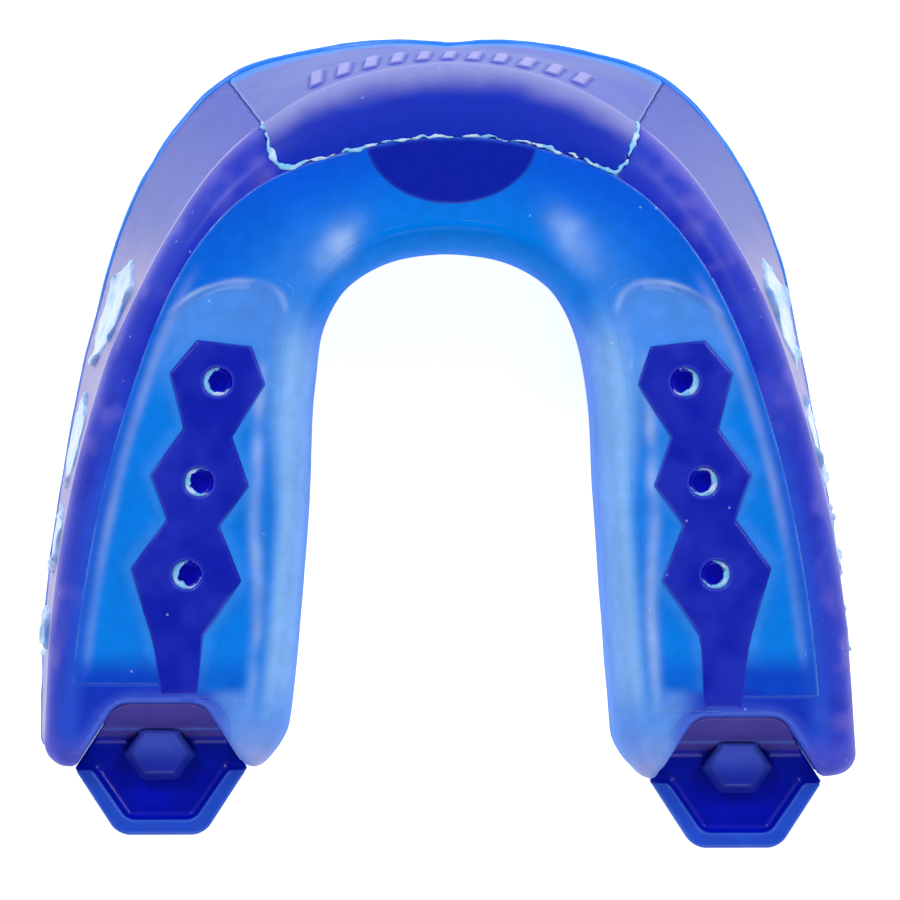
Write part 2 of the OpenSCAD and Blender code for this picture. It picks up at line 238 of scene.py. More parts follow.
def arch_of(x, y):
    """(u, n) of any point, between the lookup's grid points."""
    fx = np.clip((x - LOOKUP_LOW[0]) / LOOKUP_STEP, 0, LOOKUP.shape[0] - 1.001)
    fy = np.clip((y - LOOKUP_LOW[1]) / LOOKUP_STEP, 0, LOOKUP.shape[1] - 1.001)
    i, j = fx.astype(int), fy.astype(int)
    s, t = (fx - i)[..., None], (fy - j)[..., None]
    low = LOOKUP[i, j] * (1 - s) + LOOKUP[i + 1, j] * s
    high = LOOKUP[i, j + 1] * (1 - s) + LOOKUP[i + 1, j + 1] * s
    both = low * (1 - t) + high * t
    return both[..., 0], both[..., 1]


def smooth(t):
    """Soft step from 0 to 1 while t goes from 0 to 1."""
    t = np.clip(t, 0, 1)
    return t * t * (3 - 2 * t)


def ridge(t, width):
    """1 where t is 0, fading out over width on both sides."""
    return np.exp(-((t / width) ** 2))


class Spot:
    """Points, with what the arch's tables say there.

    rim and crease are the outer wall's lower and upper edge, gel is the gel's outer edge, tongue_top and
    tongue are the top and the foot of the tongue side, and web_edge is the web's inner edge. end is the
    distance behind the arm's end, and (rear_x, rear_y) is the same spot at the mirrored CAD's right end.
    """

    def __init__(self, x, y, z):
        self.x, self.y, self.z = x, y, z
        self.u, self.n = arch_of(x, y)
        self.a = np.abs(self.u)
        a = np.minimum(self.a, 1.05)
        left = self.u < 0
        wider = np.where(left, curve(WALL_LEFT, a), curve(WALL_RIGHT, a))
        inner = np.where(left, curve(TONGUE_LEFT, a), 0)
        self.rim_n = curve(RIM_N, a) + wider
        self.rim_z = np.maximum(curve(RIM_Z, a), 0)
        self.crease_n = curve(CREASE_N, a) + wider * smooth((a - 0.3) / 0.15)
        self.crease_z = HEIGHT - curve(CREASE_DROP, a)
        self.gel = curve(GEL_N, a) + np.where(left, curve(GEL_LEFT, a), curve(GEL_RIGHT, a))
        self.tongue_top = curve(TONGUE_TOP_N, a) - inner
        self.tongue = curve(TONGUE_N, a) - inner
        self.web_edge = self.tongue_top + 1
        self.end = (self.a - 1) * U_LENGTH - np.where(left, *END_BACK)
        self.rear_x = np.abs(x) - np.where(left, *CUP_OUT)
        self.rear_y = y + np.where(left, *CUP_BACK) * smooth((-13 - y) / 7)


# ---- noise ----

CELLS = 32  # of random values each way, then they repeat
LATTICE = np.random.RandomState(11).rand(CELLS, CELLS, CELLS)


def noise(p, size, seed=0):
    """Smooth noise from -1 to 1 whose lumps are about size mm across."""
    total = 0
    parts = []
    for v, shift in ((p.x, 3.1), (p.y, 7.7), (p.z, 5.3)):
        f = (v + 100) / size + shift * (seed + 1)
        i = np.floor(f).astype(int)
        s = f - i
        parts.append((i % CELLS, (i + 1) % CELLS, s * s * (3 - 2 * s)))
    (x0, x1, sx), (y0, y1, sy), (z0, z1, sz) = parts
    for xi, wx in ((x0, 1 - sx), (x1, sx)):
        for yi, wy in ((y0, 1 - sy), (y1, sy)):
            total = total + wx * wy * (LATTICE[xi, yi, z0] * (1 - sz) + LATTICE[xi, yi, z1] * sz)
    return total * 2 - 1


def lumps(p, size, seed=0):
    """Noise with finer noise on top."""
    return noise(p, size, seed) * 0.65 + noise(p, size / 2.3, seed + 5) * 0.35


# ---- distance fields ----


def cut(a, b, r=0.0):
    """What lies in both, with an edge of radius r."""
    if r == 0:
        return np.maximum(a, b)
    corner = np.sqrt(np.maximum(a + r, 0) ** 2 + np.maximum(b + r, 0) ** 2)
    return np.minimum(-r, np.maximum(a, b)) + corner


def join(a, b, r=0.0):
    """What lies in either, with a fillet of radius r."""
    if r == 0:
        return np.minimum(a, b)
    corner = np.sqrt(np.maximum(r - a, 0) ** 2 + np.maximum(r - b, 0) ** 2)
    return np.maximum(r, np.minimum(a, b)) - corner


def oval(across, up, half_w, half_h):
    """Quarter oval that is flat on top where across is negative."""
    across = np.maximum(across, 0)
    k0 = np.sqrt((across / half_w) ** 2 + (up / half_h) ** 2) + 1e-6
    k1 = np.sqrt((across / half_w**2) ** 2 + (up / half_h**2) ** 2) + 1e-6
    return k0 * (k0 - 1) / k1


def polygon(x, y, points):
    """Distance to a plan outline, negative inside."""
    best = np.full(np.broadcast(x, y).shape, 1e9)
    inside = np.zeros(best.shape, bool)
    for (ax, ay), (bx, by) in zip(points, points[1:] + points[:1]):
        ex, ey = bx - ax, by - ay
        t = np.clip(((x - ax) * ex + (y - ay) * ey) / (ex**2 + ey**2), 0, 1)
        best = np.minimum(best, (x - ax - t * ex) ** 2 + (y - ay - t * ey) ** 2)
        if ay != by:
            inside ^= ((ay > y) != (by > y)) & (x < (bx - ax) * (y - ay) / (by - ay) + ax)
    return np.sqrt(best) * np.where(inside, -1, 1)


def hexagon(x, y, half_w, half_l, r=0.0):
    """Distance to a six-sided outline with corners at both ends of its width."""
    x, y = np.abs(x), np.abs(y)
    slant = ((x - half_w) * half_l + y * half_w / 2) / np.hypot(half_l, half_w / 2)
    return cut(slant, y - half_l, r)


def wall(p, depth=0.0):
    """The flared outer wall's plane, moved in by depth."""
    drop = p.crease_z - p.rim_z
    lean = (p.rim_n - p.crease_n) / drop
    line = p.rim_n - lean * (p.z - p.rim_z) - depth
    return (p.n - line) / np.sqrt(1 + lean**2)


def skin(p):
    """Outer face: the flared wall below the crease and the rounded shoulder above it."""
    dome = oval(p.n - p.gel, p.z - p.crease_z, p.crease_n - p.gel, HEIGHT - p.crease_z)
    dome = np.where(p.n < p.gel, p.z - HEIGHT, dome)
    return np.where(p.z > p.crease_z, dome, wall(p))


def cup_plan(p, grow=0.0, r=0.7):
    """Plan outline of the heel cup."""
    return hexagon(p.rear_x - CUP[0], p.rear_y - CUP[1], CUP_W + grow, CUP_L + grow, r)


def rear_space(p):
    """The space that the heel cup takes up, with the gap round it."""
    return cut(cup_plan(p, GAP), CUP_FLOOR - CUP_FLOOR_T - GAP - p.z)


def bar_plan(p):
    """Plan outline of the bite bar."""
    return polygon(np.abs(p.x), p.rear_y, BAR)


def plate_zone(p, grow=0.0):
    """Zone of the front plate, with rounded rear corners and a ragged edge on the shoulder."""
    splay = PLATE_SPLAY * np.maximum(PLATE_SPLAY_N - p.n, 0)
    side = (p.a - PLATE_U - splay) * PLATE_U_LENGTH - grow
    ragged = 0.15 * noise(p, 1.1, 3) + 0.2 * noise(p, 0.5, 4)
    edge = p.gel - p.n - grow + ragged
    return cut(side + 0.7 * ragged * (p.z > p.crease_z), edge, 1.5)


def rear_line(p):
    """Distance behind the line where the gel ends and the frame's rear cap begins."""
    return np.where(np.abs(p.x) > GEL_END_X, *GEL_END_Y) - p.rear_y


def tray(p):
    """Plan zone of the sunk bite tray, negative inside."""
    across = cut(p.n - p.gel + 0.25, p.tongue_top + 0.4 - p.n, 1.0)
    front = cut(across, p.y - TRAY_FRONT_Y, TRAY_FRONT_R)
    return cut(front, rear_line(p) + 0.2, 0.8)


def gel_top(p):
    """Height of the gel's bite face: flat at the front and sunk with sloping sides in the trays."""
    shallower = 1 - 0.85 * smooth((-13.5 - p.y) / 4.5)
    sunk = TRAY_DEPTH * smooth(-tray(p) / TRAY_SLOPE) * shallower
    sunk = sunk - 0.3 * ridge(np.maximum(bar_plan(p), 0), 0.9) * (p.y < PAD_FRONT_Y)
    wave = 0.05 * noise(p, 4.5, 2)
    return HEIGHT - np.maximum(sunk, 0) + wave * np.clip(p.gel - p.n, 0, 1)


def front_tongue_plan(p, grow=0.0):
    """Plan outline of the half-round piece, which ends at the gel's edge."""
    round_part = oval(np.abs(p.x), p.y - HALF_ROUND_Y, HALF_ROUND_W + grow, HALF_ROUND_L + grow)
    return cut(round_part, p.n - p.gel + 0.06 - grow)


def cap_cover(p):
    """Plan zone where gel covers the frame's rear cap, on the tongue side of the heel cup."""
    strip = 0.85 - 0.8 * smooth((-21.2 - p.rear_y) / 1.8)
    return cut(strip - cup_plan(p), np.abs(p.x) - 20.5, 0.5)


def arm_end(p, slant, from_n):
    """Distance behind the arm's end, which slants forwards on the tongue side of from_n."""
    return p.end + slant * np.maximum(from_n - p.n, 0)


def shock_frame(p):
    body = cut(skin(p), arm_end(p, 1.4, -4.6), END_R)
    body = body + TUCK * smooth(-cap_cover(p) / 0.1) * (p.n < 0)
    body = body + TUCK * smooth((p.gel - p.n) / 0.1) * (rear_line(p) < 0)
    body = body + TUCK * smooth((p.web_edge + 0.05 - p.n) / 0.1)
    body = cut(cut(body, p.rim_z + LIP + GAP - p.z, 0.2), p.web_edge - 0.7 - p.n)
    under = cut(p.z - WEB_BOTTOM, wall(p, WALL), 1.2)
    trough = cut(cut(WEB_TOP - p.z, p.n - p.gel + 0.5), rear_line(p) + 0.5)
    body = cut(cut(body, -under), -trough)
    recess = cut(plate_zone(p, GAP), -(skin(p) + PLATE_T + GAP))
    return cut(cut(body, -recess), -rear_space(p), 0.35)


def marks(p):
    """A row of plain raised lozenges on the plate, just outside its crease."""
    along = p.u * MARK_U_LENGTH
    cell = np.round(along / MARK_PITCH)
    across = along - cell * MARK_PITCH
    up = p.z - (p.crease_z - MARK_DROP)
    shape = cut(np.abs(across + 0.12 * up) - MARK_HALF_W, np.abs(up) - MARK_HALF_H, 0.4)
    return np.where(np.abs(cell) < MARK_COUNT / 2, shape, 1.0)


def front_plate(p):
    face = skin(p) - MARK_PROUD * smooth(-marks(p) / 0.25) * (p.z < p.crease_z)
    body = cut(face, -(skin(p) + PLATE_T))
    body = cut(body, plate_zone(p), 0.15)
    return cut(body, p.rim_z + LIP + GAP - p.z, 0.15)


def front_tongue(p):
    return cut(cut(front_tongue_plan(p), p.z - HEIGHT - 0.06, 0.2), WEB_TOP + GAP - p.z)


def gel_liner(p):
    step = (p.a < PLATE_U) * RECESS_STEP
    low = p.rim_z + LIP
    proud = 0.1 + 0.12 * smooth((0.3 - p.a) / 0.1) + 0.06 * noise(p, 1.6, 6)
    lip = cut(wall(p, -proud), p.z - low, 0.2)
    inner = cut(p.z - WEB_BOTTOM + GAP, wall(p, WALL + GAP + step), 1.1)
    body = cut(join(lip, inner), p.rim_z - p.z, 0.35)
    channel = cut(p.z - CEILING, wall(p, WALL + GAP + LINING + step), 2.4)
    body = cut(cut(body, -channel, 0.3), p.web_edge - p.n)
    body = cut(body, p.end, 1.5)
    return cut(body, -rear_space(p))


def tongue_side_wall(p):
    up = p.z - HEIGHT + TONGUE_ROUND
    side = oval(p.tongue_top - p.n, up, p.tongue_top - p.tongue, TONGUE_ROUND)
    side = np.where(p.n > p.tongue_top, p.z - gel_top(p), side)
    outer = np.where(p.z > HEIGHT - TONGUE_ROUND, side, p.tongue - p.n)
    outer = outer + 0.04 * noise(p, 3, 8)
    within = np.where(
        p.z < CEILING,
        p.n - p.tongue - TONGUE_WALL,
        np.where(p.z < WEB_TOP, p.n - p.web_edge + GAP, p.n - p.tongue_top - 0.85),
    )
    seam = np.where(p.y > FRONT_PAD_END_Y, p.tongue_top, p.tongue_top + 0.35)
    outer = outer + TUCK * smooth((p.n - seam) / 0.1) * (p.z > WEB_TOP) * (rear_line(p) < 0)
    capped = np.minimum(p.n - p.web_edge + GAP, cap_cover(p))
    within = np.where((rear_line(p) > -0.3) & (p.z > WEB_TOP), capped, within)
    foot = np.minimum(6 + p.rim_z / 2, 8)
    body = cut(cut(outer, within), foot - p.z, 0.8)
    body = cut(body, arm_end(p, 0.8, -5.6), END_R)
    return cut(body, -rear_space(p), 0.3)


def gel_block(p):
    """Gel between the frame's shoulder and the tongue-side wall."""
    sides = cut(p.n - p.gel + GAP, p.tongue_top - p.n)
    return cut(cut(sides, p.z - gel_top(p), 0.12), WEB_TOP + GAP - p.z)


def corner_line(p):
    """The seam between front pad and bite pads, negative on the bite pads' side."""
    side = p.tongue_top + 0.35 - p.n
    return cut(p.y - TRAY_FRONT_Y, side, SEAM_R)


def front_gel_pad(p):
    inside = -corner_line(p)
    body = cut(gel_block(p) + TUCK * smooth(inside / 0.1), inside - 0.6)
    body = cut(body, FRONT_PAD_END_Y - p.y)
    return cut(body, -front_tongue_plan(p, -0.4))


def bite_pad(p):
    body = cut(gel_block(p), corner_line(p))
    body = cut(body, rear_line(p))
    body = cut(body, -bar_plan(p) - 0.25)
    return cut(body, -rear_space(p))


def hole(p):
    """Distance to the wall of the nearest hole in a bar."""
    x = np.abs(p.x)
    return np.min([np.hypot(x - hx, p.y - hy) - HOLE_R for hx, hy in HOLES], 0)


def bite_bar(p):
    plan = bar_plan(p)
    crown = BAR_TOP - CROWN * np.exp(plan / 0.8)
    body = cut(plan + 0.02, p.z - crown, 0.22)
    bowl = cut(hole(p), HOLE_BOTTOM - p.z, 0.4)
    body = cut(body, -bowl, 0.12)
    return cut(body, WEB_TOP + GAP - p.z)


def heel_cup(p):
    x, y = p.rear_x - CUP[0], p.rear_y - CUP[1]
    plan = cup_plan(p, r=0.8) - 0.12 * smooth((p.z - CUP_LIP_Z) / 0.5)
    ramp = (p.z - CUP_FLOOR - (y - CUP_L + RAMP_RUN) * RAMP_RISE / RAMP_RUN) * RAMP_COS
    body = cut(plan, join(p.z - CUP_LIP_Z, ramp, 0.3), 0.35)
    inner = hexagon(x, y + 0.2, CUP_W - CUP_SIDE_W, CUP_L - CUP_SIDE_L, 0.5)
    inner = join(inner, -y - 0.1, 0.3)
    pocket = cut(cut(inner, CUP_FLOOR - p.z, 0.75), -ramp, 0.4)
    body = cut(body, -pocket, 0.25)
    stud = hexagon(p.rear_x - STUD[0], p.rear_y - STUD[1], STUD_W + GAP, STUD_L + GAP)
    body = cut(body, -cut(stud, CUP_FLOOR - p.z))
    return cut(body, CUP_FLOOR - CUP_FLOOR_T - p.z, 0.3)


def heel_stud(p):
    x, y, up = p.rear_x - STUD[0], p.rear_y - STUD[1], p.z - CUP_FLOOR
    plan = hexagon(x, y, STUD_W, STUD_L, 0.25)
    slope = hexagon(x, y - 0.2, 3.6, 2.9, 0.3) * 0.8 + up * 0.6
    body = cut(cut(plan, up - STUD_H, 0.3), slope, 0.2)
    for side in (-1, 1):
        ball = np.sqrt((x - side * BUMP[0]) ** 2 + (y - BUMP[1]) ** 2 + (up - BUMP[2]) ** 2)
        body = join(body, ball - BUMP_R, 0.1)
    return cut(body, GAP - up)


def window_shape(p, u0, u1, z0, z1):
    """Six-sided outline of a window on the wall."""
    along, up = (p.a - (u0 + u1) / 2) * PLUG_U_LENGTH, p.z - (z0 + z1) / 2
    return hexagon(along, up, (u1 - u0) / 2 * PLUG_U_LENGTH, (z1 - z0) / 2 - 0.4, 0.4)


def window_plug(window):
    """Plug of gel that has flashed out over its window's edges."""

    def field(p):
        shape = window_shape(p, *window) + 0.15 * noise(p, 0.9, 12)
        beads = ridge(shape, 0.35) * np.maximum(noise(p, 1.6, 13), 0)
        proud = 0.12 + 0.7 * beads + 0.05 * noise(p, 0.7, 14)
        body = cut(shape, wall(p) - proud, 0.2)
        return cut(body, -(wall(p) + PLUG_DEPTH))

    return field


def plate_flash(p):
    """Ragged bead of gel squeezed out along the plate's edge."""
    width = 0.1 + 0.06 * noise(p, 1.9, 21) + 0.08 * noise(p, 0.45, 22)
    edge = np.abs(plate_zone(p) + 0.05) - width
    height = np.abs(skin(p) + 0.1) - 0.24 - 0.08 * noise(p, 0.6, 23)
    body = cut(edge, height, 0.1)
    return cut(body, p.crease_z - 0.2 - p.z)


def hole_flash(p):
    """Ragged crescents of gel on the outer side of each hole."""
    x = np.abs(p.x)
    best = 9.0
    for hx, hy in HOLES:
        dx, dy = x - hx, p.y - hy
        far = np.hypot(dx - CRESCENT[0], dy - CRESCENT[1]) - CRESCENT_R
        ragged = far + 0.16 * noise(p, 0.45, 31) + 0.1 * noise(p, 0.22, 32)
        best = np.minimum(best, cut(np.hypot(dx, dy) - HOLE_R + 0.01, -ragged))
    return cut(cut(best, p.z - BAR_TOP + 0.3), BAR_TOP - 1.0 - p.z)


# ---- meshing ----


def in_millimetres(node):
    """The box of a CAD node, in the sizes' own frame."""
    low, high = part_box(node)
    low, high = np.array(low) * 1000, np.array(high) * 1000
    low[1] += MID_Y
    high[1] += MID_Y
    return low, high


def sample(field, axes):
    """The field's values on a grid, with its outermost layer made to lie outside."""
    x, y, z = axes[0][:, None, None], axes[1][None, :, None], axes[2][None, None, :]
    plan_x, plan_y = np.broadcast_arrays(x, y)
    f = np.asarray(field(Spot(plan_x, plan_y, z)), np.float32)
    f = np.array(np.broadcast_to(f, (len(axes[0]), len(axes[1]), len(axes[2]))))
    f[0], f[-1], f[:, 0], f[:, -1], f[:, :, 0], f[:, :, -1] = 1, 1, 1, 1, 1, 1
    return f


def mixed_cells(inside):
    """The grid's cells that have corners on both sides of the surface."""
    count = np.zeros([n - 1 for n in inside.shape], np.int8)
    for i, j, k in np.ndindex(2, 2, 2):
        count += inside[i : i + count.shape[0], j : j + count.shape[1], k : k + count.shape[2]]
    return (count > 0) & (count < 8)


def cell_points(f, cells):
    """A point for each cell, in grid steps: the mean of where the surface crosses its edges."""
    total, hits = np.zeros((len(cells), 3)), np.zeros(len(cells))
    for axis in range(3):
        others = [a for a in range(3) if a != axis]
        for i, j in np.ndindex(2, 2):
            offset = np.zeros(3, int)
            offset[others] = i, j
            a = cells + offset
            b = a.copy()
            b[:, axis] += 1
            fa, fb = f[tuple(a.T)], f[tuple(b.T)]
            crossed = (fa < 0) != (fb < 0)
            spot = a[crossed].astype(float)
            spot[:, axis] += fa[crossed] / (fa[crossed] - fb[crossed])
            total[crossed] += spot
            hits[crossed] += 1
    return total / hits[:, None]


def cell_quads(inside, index):
    """A quad round each grid edge that the surface crosses, facing outwards."""
    quads = []
    for axis in range(3):
        others = [a for a in range(3) if a != axis]
        first = np.take(inside, range(0, inside.shape[axis] - 1), axis)
        second = np.take(inside, range(1, inside.shape[axis]), axis)
        edges = np.argwhere(first != second)
        ring = []
        for i, j in ((-1, -1), (0, -1), (0, 0), (-1, 0)):
            cell = edges.copy()
            cell[:, others[0]] += i
            cell[:, others[1]] += j
            ring.append(index[tuple(cell.T)])
        ring = np.stack(ring, 1)
        flip = first[tuple(edges.T)] == (axis == 1)
        ring[flip] = ring[flip][:, ::-1]
        quads.append(ring)
    return np.concatenate(quads)


def surface(field, low, high, step):
    """Closed quad mesh of a distance field by surface nets, drawn onto the exact surface."""
    axes = [np.arange(a - 2 * step, b + 3 * step, step) for a, b in zip(low, high)]
    f = sample(field, axes)
    mixed = mixed_cells(f < 0)
    cells = np.argwhere(mixed)
    index = np.full(mixed.shape, -1, np.int32)
    index[mixed] = np.arange(len(cells))
    points = cell_points(f, cells) * step + np.array([a[0] for a in axes])
    quads = cell_quads(f < 0, index)
    for _ in range(2):
        points = relax(points, quads)
        points = onto(field, points, step)
    return points, quads


def relax(points, quads):
    """Moves points towards the middle of the quads round them."""
    centre = points[quads].mean(1)
    total = np.zeros_like(points)
    hits = np.bincount(quads.ravel(), minlength=len(points))
    for axis in range(3):
        weights = np.repeat(centre[:, axis], 4)
        total[:, axis] = np.bincount(quads.ravel(), weights, len(points))
    return points * 0.4 + total / hits[:, None] * 0.6


def onto(field, points, step):
    """Moves points onto the field's zero by one bounded Newton step."""
    eps = 0.02

    def at(dx=0.0, dy=0.0, dz=0.0):
        return field(Spot(points[:, 0] + dx, points[:, 1] + dy, points[:, 2] + dz))

    here = at()
    slope = np.stack([at(eps) - here, at(0.0, eps) - here, at(0.0, 0.0, eps) - here], 1) / eps
    move = -here / np.maximum((slope**2).sum(1), 0.2)
    shift = slope * move[:, None]
    length = np.linalg.norm(shift, axis=1, keepdims=True)
    return points + shift * np.minimum(1, 0.4 * step / np.maximum(length, 1e-9))


def linear(colour):
    """Linear light of an sRGB colour."""
    c = np.array(colour, float) / 255
    return np.where(c <= 0.04045, c / 12.92, ((c + 0.055) / 1.055) ** 2.4)


def mix(a, b, t):
    """Colour between a and b; a tuple is sRGB from 0 to 255, an array is linear."""
    a = linear(a) if isinstance(a, tuple) else a
    b = linear(b) if isinstance(b, tuple) else b
    t = np.clip(t, 0, 1)[:, None]
    return a * (1 - t) + b * t


def piece(name, field, paint, material, nodes, box, step):
    """Makes one painted piece from its field, inside a box, on a grid of the given step."""
    points, quads = surface(field, box[0], box[1], step)
    mesh = bpy.data.meshes.new(name)
    mesh.vertices.add(len(points))
    mesh.loops.add(quads.size)
    mesh.polygons.add(len(quads))
    metres = (points - np.array([0, MID_Y, 0])) / 1000
    mesh.vertices.foreach_set("co", metres.astype(np.float32).ravel())
    mesh.loops.foreach_set("vertex_index", quads.astype(np.int32).ravel())
    mesh.polygons.foreach_set("loop_start", np.arange(0, quads.size, 4, dtype=np.int32))
    mesh.update(calc_edges=True)
    mesh.shade_smooth()
    spot = Spot(points[:, 0], points[:, 1], points[:, 2])
    colour = np.ones((len(points), 4), np.float32)
    colour[:, :3] = np.clip(paint(spot), 0, 1)
    mesh.color_attributes.new("paint", "FLOAT_COLOR", "POINT").data.foreach_set("color", colour.ravel())
    mesh.materials.append(material)
    made = bpy.data.objects.new(name, mesh)
    bpy.context.scene.collection.objects.link(made)
    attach(made, "root")
    if nodes:
        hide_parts(*nodes)
    print("piece", name, len(points), "points")


# ---- paint: how the moulded colours vary from place to place, with painted light and shade ----

# Colours are sRGB, 0 to 255, picked by place: each line lays one colour over what is there.


def rear_shade(p):
    """Colour of the bite face behind the trays, shared by the frame's cap and the gel beside it."""
    x = np.abs(p.x)
    cup = cup_plan(p)
    c = mix((14, 50, 184), (88, 142, 228), smooth((20.2 - x) / 3.6))
    c = mix(c, (58, 84, 204), smooth((1.6 - cup) / 1.4) * 0.8 * smooth((x - 16.5) / 1.5))
    c = mix(c, (122, 148, 218), smooth((p.end + 5.4) / 4) * smooth((18 - x) / 2))
    c = mix(c, (112, 124, 208), smooth((p.end + 2.6) / 2.2) * 0.6)
    c = mix(c, (170, 174, 216), smooth((p.end + 2.8) / 2.4) * smooth((16.4 - x) / 1.5) * 0.8)
    # A faint painted highlight line runs along the heel cup's rim.
    return mix(c, (96, 128, 224), ridge(cup - 0.35, 0.14) * (p.z > 17) * 0.4)


def deep_gel(p):
    """Gel that is deep at its outer edge and paler towards the opening."""
    inward = smooth(np.clip((p.gel - p.n) / (p.gel - p.tongue_top), 0, 1.3))
    front = mix((0, 84, 216), (0, 118, 226), inward)
    side = mix((0, 98, 214), (18, 122, 226), inward)
    return mix(front, side, (p.a - 0.2) / 0.2)


def with_trays(p, c):
    """Paler tray floors, with a painted highlight arc at the front and a pale band on the tongue side."""
    zone = -tray(p)
    floor = mix((0, 120, 224), (74, 138, 228), smooth((p.y - 3) / 8))
    floor = mix(floor, (60, 134, 230), 0.5 * smooth(1 - np.maximum(bar_plan(p), 0) / 0.9))
    c = mix(c, floor, smooth(zone / 0.9))
    # Painted highlight along the rounded front of each tray.
    tray_front_highlight = ridge(zone - 0.3, 0.22) * smooth((p.y - 10.2) / 1.2) * (p.a > 0.2)
    c = mix(c, (150, 184, 240), tray_front_highlight * (0.5 + 0.5 * noise(p, 1.8, 46)))
    reach = 2.2 - 1.3 * smooth((4 - p.y) / 10)
    band = smooth((p.tongue_top + reach - p.n) / (reach + 0.5)) * smooth((p.a - 0.3) / 0.16)
    c = mix(c, (134, 182, 241), band * 0.92)
    lip = smooth((p.tongue_top - 0.2 - p.n) / 1.5) * (1 - smooth((p.a - 0.25) / 0.15))
    return mix(c, (20, 132, 228), lip * 0.9)


def with_painted_highlights(p, c):
    """Painted highlights: soft streaks along both sides of the trays and fans at the front; also a pale
    haze at the front.
    """
    # Painted highlight streaks along the trays' outer and inner sides.
    outer = ridge(p.n - p.gel + 1.05, 0.38) * smooth((p.a - 0.35) / 0.1)
    outer = outer * (1 - 0.35 * smooth((-4 - p.y) / 7))
    c = mix(c, (130, 160, 235), outer * (0.55 + 0.3 * noise(p, 3, 41)))
    offset = 2.1 - 0.9 * smooth((-4 - p.y) / 10)
    inner = ridge(p.n - p.tongue_top - offset, 0.5) * smooth((p.a - 0.42) / 0.1)
    c = mix(c, (150, 180, 240), inner * (0.45 + 0.5 * noise(p, 2.0, 42)))
    # Painted highlights fanning out at the front's inner corners.
    for x, y, lean in ((-8.9, 15.9, 0.5), (9.6, 16.3, -0.5)):
        dx, dy = p.x - x - lean * (p.y - y), p.y - y
        fan = ridge(dx, 1.25) * ridge(dy, 1.9)
        c = mix(c, (165, 195, 240), fan * (0.7 + 0.4 * noise(p, 1.4, 43)))
    haze = ridge(p.n - p.tongue_top - 1.6, 2.2) * smooth((p.a - 0.14) / 0.1)
    return mix(c, (70, 135, 230), haze * 0.35 * (1 - smooth((p.a - 0.36) / 0.08)))


def gel_paint(p):
    """Gel of the bite face and of the wall on the tongue side."""
    c = with_painted_highlights(p, with_trays(p, deep_gel(p)))
    rear = smooth((-15.2 - p.y) / 2.6) * smooth((p.n - p.tongue_top - 1.2) / 1.2)
    c = mix(c, (4, 62, 192), rear * np.where(p.n > 0, 0.95, 0.45))
    wide = 1.2 + 4.3 * smooth((p.tongue_top + 2.5 - p.n) / 2)
    c = mix(c, rear_shade(p), smooth((wide * 0.3 - 18.6 - p.y) / wide) * (p.n < 3))
    below = mix((30, 134, 226), (104, 152, 234), smooth((p.a - 0.28) / 0.14))
    c = mix(c, below, smooth((17.8 - p.z) / 2.5) * 0.85)
    beside = smooth(1 - (p.gel - p.n) / 1.5) * smooth((p.a - 0.5) / 0.2) * (p.n > 0)
    c = mix(c, (34, 84, 206), beside * 0.7)
    edge = ridge(p.gel - p.n - 0.05, 0.13) * (0.5 + 0.5 * noise(p, 2.0, 44))
    c = mix(c, (120, 160, 240), edge * 0.7 * (p.z > 18))
    return c * (1 + 0.08 * lumps(p, 3, 45))[:, None]


def shoulder_shade(p):
    """Dark violet shoulder with blotches, deeper towards the gel."""
    across = np.clip((p.crease_n - p.n) / (p.crease_n - p.gel), 0, 1)
    c = mix((84, 84, 192), (42, 62, 190), smooth(across * 3.2))
    c = mix(c, (28, 50, 188), smooth((across - 0.5) * 2))
    c = mix(c, (22, 34, 176), 0.5 * smooth(0.5 + 1.3 * lumps(p, 3.2, 51)))
    c = mix(c, (104, 98, 198), 0.5 * smooth(1.6 * lumps(p, 2.4, 52)))
    near = smooth(1 - (p.n - p.gel) / 1.3) * smooth((p.a - 0.5) / 0.2)
    return mix(c, (38, 84, 206), near * 0.7)


def wall_shade(p):
    """Frosted violet outer wall, made paler along the arms by painted backlight from the white ground
    behind it.
    """
    c = mix((78, 92, 184), (102, 114, 186), smooth((p.a - 0.2) / 0.14))
    c = mix(c, (154, 150, 196), smooth((p.a - 0.33) / 0.1))
    return mix(c, (94, 104, 186), 0.4 * smooth(1.3 * lumps(p, 4, 53)))


def frame_paint(p):
    """Frame: shoulder and wall with a painted highlight line between them, rear cap, and deep blue
    inside.
    """
    outside = smooth((p.crease_z + 0.12 - p.z) / 0.3) * (p.n > p.crease_n - 0.6)
    c = mix(shoulder_shade(p), wall_shade(p), outside)
    # Painted highlight along the crease, where the wall's top edge catches the light.
    line = ridge(p.z - p.crease_z, 0.22) * (p.n > p.crease_n - 0.7)
    c = mix(c, (212, 202, 232), line * 0.75 * smooth((p.a - 0.2) / 0.03))
    c = mix(c, rear_shade(p), smooth(rear_line(p) / 0.1) * smooth((p.gel - p.n) / 1.6))
    bulb = smooth((p.a - 0.955) / 0.04) * (p.n > p.gel - 1.5)
    c = mix(c, (72, 76, 196), bulb * 0.8)
    deep = ((p.z < WEB_TOP + 0.3) & (p.n < p.gel + 0.3)).astype(float)
    c = mix(c, (6, 12, 172), deep)
    return c * (1 + 0.06 * lumps(p, 1.5, 54))[:, None]


